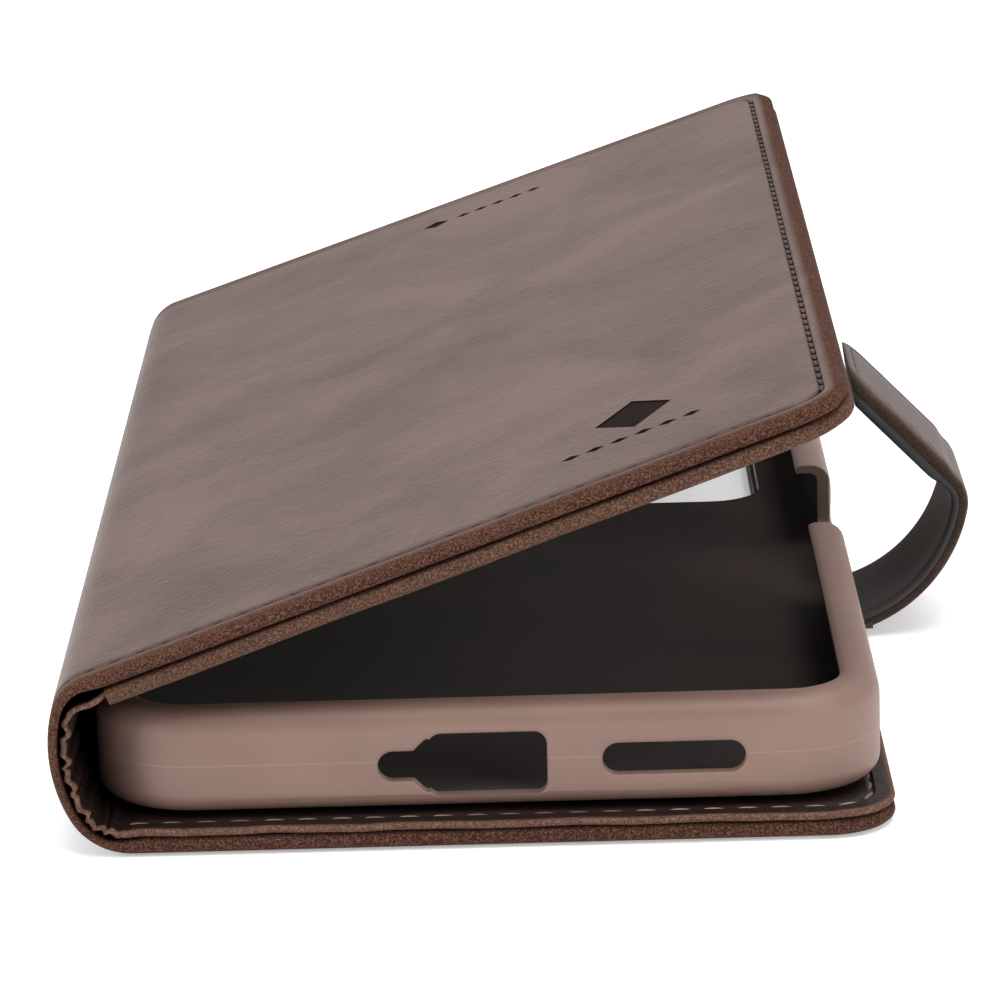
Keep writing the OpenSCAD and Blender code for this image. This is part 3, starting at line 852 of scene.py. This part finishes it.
# %% [markdown]
# Lockstitch seams: every stitch is a short plump capsule of thread that dips into its
# groove. One is modelled and copied along the seam, then the row is wrapped like the
# leather, so the stitches follow the rolled corners.
# %% Stitches
PITCH = 3.3
POCKET_R = 6
POCKET_SEAM = 1.5


def seam_places(start, free, half, corner, d, pitch=PITCH):
    """(s, y, turn) of each stitch, d inside the three free edges of a panel."""
    way = math.copysign(1, free - start)
    run = abs(free - start) - corner
    arc = (corner - d) * math.pi / 2
    side = 2 * (half - corner)
    total = 2 * run + 2 * arc + side
    count = int(total / pitch)
    places = []
    for i in range(count):
        t = (i + 0.5) * total / count
        far = t > total / 2
        u = total - t if far else t
        if u < run:
            x, y, turn = u, d - half, 0
        elif u < run + arc:
            turn = (u - run) / (corner - d)
            x = run + (corner - d) * math.sin(turn)
            y = corner - half - (corner - d) * math.cos(turn)
        else:
            x, y, turn = run + corner - d, u - run - arc + corner - half, math.pi / 2
        places.append((start + way * x, -y if far else y, -way * turn if far else way * turn))
    return places


def stitch_row(name, places, height, size=(2.2, 0.5, 0.34), layer=None, path=None):
    settle()
    bpy.ops.mesh.primitive_uv_sphere_add(segments=10, ring_count=7, radius=0.5,
                                         rotation=(0, math.pi / 2, 0))
    first = bpy.context.object
    first.name = name
    bpy.ops.object.transform_apply(location=False, rotation=True, scale=False)
    rows = []
    for number, (s, y, turn) in enumerate(places):
        stitch = first if number == 0 else first.copy()
        if number:
            stitch.data = first.data.copy()
            scene.collection.objects.link(stitch)
        lean = 0.09 if number % 2 else 0.05
        level = height(s, y) if callable(height) else height
        stitch.location = (s, y, level)
        stitch.rotation_euler = (0, 0, turn + lean)
        stitch.scale = size
        rows.append(stitch)
    settle()
    for stitch in rows:
        stitch.select_set(True)
    bpy.context.view_layer.objects.active = first
    bpy.ops.object.join()
    bpy.ops.object.transform_apply(location=True, rotation=True, scale=True)
    (path or wrap)(first, layer)
    bpy.ops.object.shade_smooth()
    return first


COVER_PITCH = 2.7
front_seam = stitch_row("front_seam",
                        seam_places(0.4, S_COVER_EDGE, HALF, CORNER, SEAM_IN, COVER_PITCH),
                        -0.24, size=(2.0, 0.46, 0.34),
                        layer=lambda s, y, height: (narrow_roll(s), y, height))
dress(front_seam, cover_thread)
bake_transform(front_seam)
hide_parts("front_stitches")
under_seam = stitch_row("back_under_seam",
                        seam_places(-0.4, S_BACK_EDGE, HALF, CORNER, SEAM_IN), -0.26)
dress(under_seam, cover_thread)
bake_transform(under_seam)
LINING_SEAM = 2.45
lining_seam = stitch_row("back_lining_seam",
                         seam_places(S_BEND + 1, S_BACK_EDGE, HALF, CORNER, LINING_SEAM),
                         -2.62)
dress(lining_seam, lining_thread)
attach(lining_seam, "back")
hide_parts("back_stitches")


def pocket_level(s, y):
    covered = sum(1 for i in (1, 2, 3) if s > pocket_mouth(i) + 1.1)
    return -(3.5 + covered * POCKET_T) + 0.03


pocket_run = [place for place in seam_places(pocket_mouth(1), on_cover(POCKET_END),
                                             POCKET_HALF, POCKET_R, POCKET_SEAM)
              if place[0] > pocket_mouth(1) + 1.1]
pocket_seam = stitch_row("card_pocket_seam", pocket_run, pocket_level, size=(2.2, 0.45, 0.24))
dress(pocket_seam, cover_thread)
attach(pocket_seam, "front_cover")
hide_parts("pocket_stitches")

# %% [markdown]
# The tray is one injection moulding in soft TPU: a shallow tub with rounded walls whose
# rim reaches in over the phone. It starts as a block, the phone's own space is cut out
# of it, and each opening has a small lead-in round its mouth, as a moulding has.
# %% Phone tray
tray_low, tray_high = box_mm("phone_tray")
TRAY_HALF_W = 39.0
TRAY_HALF_L = -tray_low.y
TRAY_R = 10
TRAY_EDGE = 2.2
TRAY_WALL = 1.5
FLOOR_T = 1.2
RIM_T = 0.9
RIM_REACH = 2.4


def edge_loop(piece, level, offset, segments):
    edit(piece, "EDGE")
    pick(piece, "edges", lambda e: all(abs(v.co.z - level) < 0.001 for v in e.verts))
    bpy.ops.mesh.bevel(offset=offset, segments=segments, affect="EDGES")
    close_edit()


PORT_FLARE = 0.22
MOUTH_FLARE = 0.35
CUT_DEEP = 5


def lead_in_cutter(name, w, h, corner, deep, turn, place, flare=0.3):
    """A cutter with rounded corners that widens over the last bit before the surface."""
    cutter = block(name, (-w / 2, -h / 2, -deep), (w / 2, h / 2, -flare), corner, 8)
    edit(cutter, "FACE")
    pick(cutter, "faces", lambda face: face.normal.z > 0.9)
    for rise, grow in ((flare * 0.45, 0.12), (flare * 0.55, 0.42), (1.2, 0.0)):
        bpy.ops.mesh.extrude_region_move(TRANSFORM_OT_translate={"value": (0, 0, rise)})
        bpy.ops.transform.resize(value=((w + 2 * grow * flare / 0.3) / w,
                                        (h + 2 * grow * flare / 0.3) / h, 1))
    close_edit()
    cutter.matrix_world = Matrix.Translation(place) @ turn.to_4x4()
    take(cutter)
    bpy.ops.object.transform_apply(location=True, rotation=True, scale=True)
    return cutter


TO_LOWER_END = Matrix(((1, 0, 0), (0, 0, -1), (0, 1, 0)))
TO_RIGHT_SIDE = Matrix(((0, 0, 1), (1, 0, 0), (0, 1, 0)))
UPWARDS = Matrix.Identity(3)
tray = block("phone_tray_tpu", (-TRAY_HALF_W, -TRAY_HALF_L, tray_low.z),
             (TRAY_HALF_W, TRAY_HALF_L, tray_high.z), TRAY_R, 16)
edge_loop(tray, tray_low.z, TRAY_EDGE, 6)
edge_loop(tray, tray_high.z, TRAY_EDGE, 6)
inside_w = TRAY_HALF_W - TRAY_WALL
inside_l = TRAY_HALF_L - TRAY_WALL
bay = block("bay", (-inside_w, -inside_l, tray_low.z + FLOOR_T),
            (inside_w, inside_l, tray_high.z - RIM_T), TRAY_R - TRAY_WALL, 14)
edge_loop(bay, tray_low.z + FLOOR_T, 0.8, 3)
edge_loop(bay, tray_high.z - RIM_T, 0.8, 3)
mouth = lead_in_cutter("mouth", 2 * (inside_w - RIM_REACH), 2 * (inside_l - RIM_REACH),
                       TRAY_R - TRAY_WALL - RIM_REACH, 3, UPWARDS, (0, 0, tray_high.z), MOUTH_FLARE)
phone_middle = tray_low.z + FLOOR_T + 4.2
PORT_Z = phone_middle - 0.9
PORT_X = -0.1
port = lead_in_cutter("port", 11.7, 6.5, 1.3, CUT_DEEP, TO_LOWER_END,
                      (PORT_X, -TRAY_HALF_L, PORT_Z), PORT_FLARE)
lobe = lead_in_cutter("microphone_lobe", 7.6, 3.1, 1.5, CUT_DEEP, TO_LOWER_END,
                      (PORT_X - 7.0, -TRAY_HALF_L, PORT_Z), PORT_FLARE)
neck = lead_in_cutter("port_neck", 4.2, 4.2, 0.6, CUT_DEEP,
                      TO_LOWER_END @ Matrix.Rotation(math.pi / 4, 3, "Z"),
                      (PORT_X - 5.85, -TRAY_HALF_L, PORT_Z), PORT_FLARE)
slot = lead_in_cutter("speaker_slot", 14.1, 3.3, 1.6, CUT_DEEP, TO_LOWER_END,
                      (18.2, -TRAY_HALF_L, PORT_Z + 0.2), PORT_FLARE)
notch = lead_in_cutter("side_notch", 25, 12, 1.6, CUT_DEEP, TO_RIGHT_SIDE,
                       (TRAY_HALF_W, -4, tray_low.z + 3.2 + 6), PORT_FLARE)
window = window_cutter(WINDOW_MIDDLE[0], tray_low.z - 1, tray_low.z + FLOOR_T + 1)
tray.data.materials.append(satin_tpu)
# The phone's space carries the dark flocking colour: painted shade inside the tray.
bay.data.materials.append(painted_shade_flock)
cutters = (bay, mouth, port, lobe, neck, slot, notch, window)
for cutter in cutters:
    if not cutter.data.materials:
        cutter.data.materials.append(satin_tpu)
    cut(tray, cutter, keep_material=True)
discard(*cutters)
keys = block("keys", (-11.5, -1.7, -1.0), (11.5, 1.7, 0.4), 1.65, 8)
edge_loop(keys, 0.4, 0.25, 2)
keys.matrix_world = (Matrix.Translation((TRAY_HALF_W, 26, phone_middle))
                     @ TO_RIGHT_SIDE.to_4x4())
take(keys)
bpy.ops.object.transform_apply(location=True, rotation=True, scale=True)
take(tray)
joining = tray.modifiers.new("keys", "BOOLEAN")
joining.operation = "UNION"
joining.solver = "EXACT"
joining.object = keys
bpy.ops.object.modifier_apply(modifier="keys")
discard(keys)
for vertex in tray.data.vertices:
    vertex.co *= MM
soften(tray, 32)
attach(tray, "back")
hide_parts("phone_tray")

# %% [markdown]
# The strap comes out from under the lining, bows outwards, folds back at its tab and
# would close over the cover. It has leather outside and smooth coated microfibre
# inside. It is parted in the middle of its band.
# %% Strap path
STRAP_Y = joints["strap_fold"]["pos_m"][1] / MM
ROOT = joint_place("strap_fold")
FOLD = joint_place("tab_fold")
STRAP_HALF = 9
BAND_T = 1.9
BAND_BOW = 2.7
BAND_OUT = 0.8
TAB_SLOPE = math.radians(134.4)
TAB_L = 19
TAB_T = 2.6
band_chord = FOLD - ROOT
BAND_R = band_chord.length ** 2 / (8 * BAND_BOW) + BAND_BOW / 2
BAND_C = ((ROOT + FOLD) / 2
          + (BAND_R - BAND_BOW) * Vector((-band_chord.y, band_chord.x)).normalized())
MID_R = BAND_R + BAND_OUT - BAND_T / 2
FOLD_R = 3.4
tab_way = Vector((math.cos(TAB_SLOPE), math.sin(TAB_SLOPE)))
tab_in = Vector((-math.sin(TAB_SLOPE), math.cos(TAB_SLOPE)))
tab_line = FOLD - 0.1 * tab_in
reach = tab_line + FOLD_R * tab_in - BAND_C
along = reach.dot(tab_way)
slide = -along - math.sqrt(along ** 2 - reach.length_squared + (MID_R - FOLD_R) ** 2)
slide_other = -along + math.sqrt(along ** 2 - reach.length_squared + (MID_R - FOLD_R) ** 2)
slide = slide if abs(slide) < abs(slide_other) else slide_other
fold_c = tab_line + FOLD_R * tab_in + slide * tab_way
fold_turn = turn_of(fold_c - BAND_C) if (fold_c - BAND_C).y > 0 else \
    turn_of(fold_c - BAND_C) - 2 * math.pi
tab_turn = turn_of(-tab_in) if -tab_in.y > 0 else turn_of(-tab_in) - 2 * math.pi
T_TAB = (tab_turn - fold_turn) * FOLD_R
T_ROOT = -(fold_turn - math.radians(-75.5)) * MID_R
T_TIP = T_TAB + TAB_L - slide
print("fold slide", round(slide, 2), "turns", round(math.degrees(fold_turn), 1),
      round(math.degrees(tab_turn), 1), "t", round(T_ROOT, 1), round(T_TAB, 1), round(T_TIP, 1))


def strap_path(t):
    """Point of the strap's middle and its outward direction, t mm from the fold."""
    if t < 0:
        turn = fold_turn + t / MID_R
        out = Vector((math.cos(turn), math.sin(turn)))
        return BAND_C + MID_R * out, out
    if t < T_TAB:
        turn = fold_turn + t / FOLD_R
        out = Vector((math.cos(turn), math.sin(turn)))
        return fold_c + FOLD_R * out, out
    return tab_line + (slide + t - T_TAB) * tab_way, -tab_in


SWING_R = math.hypot(COVER_END, 1.9) + 0.35


def wrap_strap(piece, layer=None):
    for vertex in piece.data.vertices:
        t, y, height = vertex.co
        thick = smooth_step(T_TAB + 0.3, T_TAB + 2.2, t) * (TAB_T / BAND_T - 1)
        middle = math.exp(-((t - T_TAB - 8) / 4.5) ** 4 - (y / 6.2) ** 4)
        height = (height + BAND_T / 2) * (1 + thick)
        height += math.copysign(0.14 * middle, height) if height > 0 else 0
        point, out = strap_path(t)
        point = point + height * out
        away = point - TOP_CREASE
        if t > 0 and away.length < SWING_R:
            point = TOP_CREASE + away.normalized() * SWING_R
        vertex.co = Vector((point.x, STRAP_Y - y, point.y)) * MM
    piece.data.update()


# %% [markdown]
# Leather and microfibre are glued together and trimmed in one cut, so their edges are
# flush but each is slightly rounded by the edge paint.
# %% Strap pieces
T_MID = T_ROOT / 2
LEATHER_OUT = [(0, 0.62), (0.05, 0.40), (0.22, 0.16), (0.6, 0.03), (1.1, 0.0), (1.32, 0.03),
               (1.5, 0.17), (1.68, 0.03), (2.1, 0.0)]
LEATHER_IN = [(0, 0.9), (0.04, 1.0), (1, 1.0)]
FIBRE_OUT = [(0, 1.1), (0.05, 1.0), (1, 1.0)]
FIBRE_IN = [(0, 1.35), (0.06, 1.6), (0.25, 1.8), (0.7, 1.89), (1.2, BAND_T), (2.0, BAND_T)]


def strap_half(name, join, free, corner, outer, inner, half=STRAP_HALF):
    piece = panel(name, join, free, half, corner, outer, inner)
    slice_at(piece, (1, 0, 0), spaced(join, free, 0.5))
    slice_at(piece, (0, 1, 0), spaced(-half, half, 1.5))
    rim_distance(piece, join, free, half, corner)
    wrap_strap(piece)
    soften(piece)
    return piece


for name, material, slot, outer, inner, half, nodes in (
        ("strap_cowhide", strap_leather_skin, "outer_leather", LEATHER_OUT, LEATHER_IN,
         STRAP_HALF, ("strap_leather", "tab_leather")),
        ("strap_microfibre", microfibre, "strap_lining", FIBRE_OUT, FIBRE_IN,
         STRAP_HALF - 0.12, ("strap_lining", "tab_lining"))):
    band = strap_half(name + "_band", T_MID, T_ROOT, 0, outer, inner, half)
    tab = strap_half(name + "_tab", T_MID, T_TIP - STRAP_HALF + half, 4, outer, inner, half)
    for piece in (band, tab):
        dress(piece, material)
    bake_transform(band)
    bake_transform(tab)
    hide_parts(nodes[0])
    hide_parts(nodes[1])

tab_seam = stitch_row("tab_seam", seam_places(T_TAB + 2.6, T_TIP, STRAP_HALF, 4, 1.5, 3.0),
                      -0.1, size=(2.0, 0.42, 0.26), path=wrap_strap)
dress(tab_seam, cover_thread)
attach(tab_seam, "strap_tab")
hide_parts("tab_stitches")

# %% [markdown]
# %% The end
print("script finished")
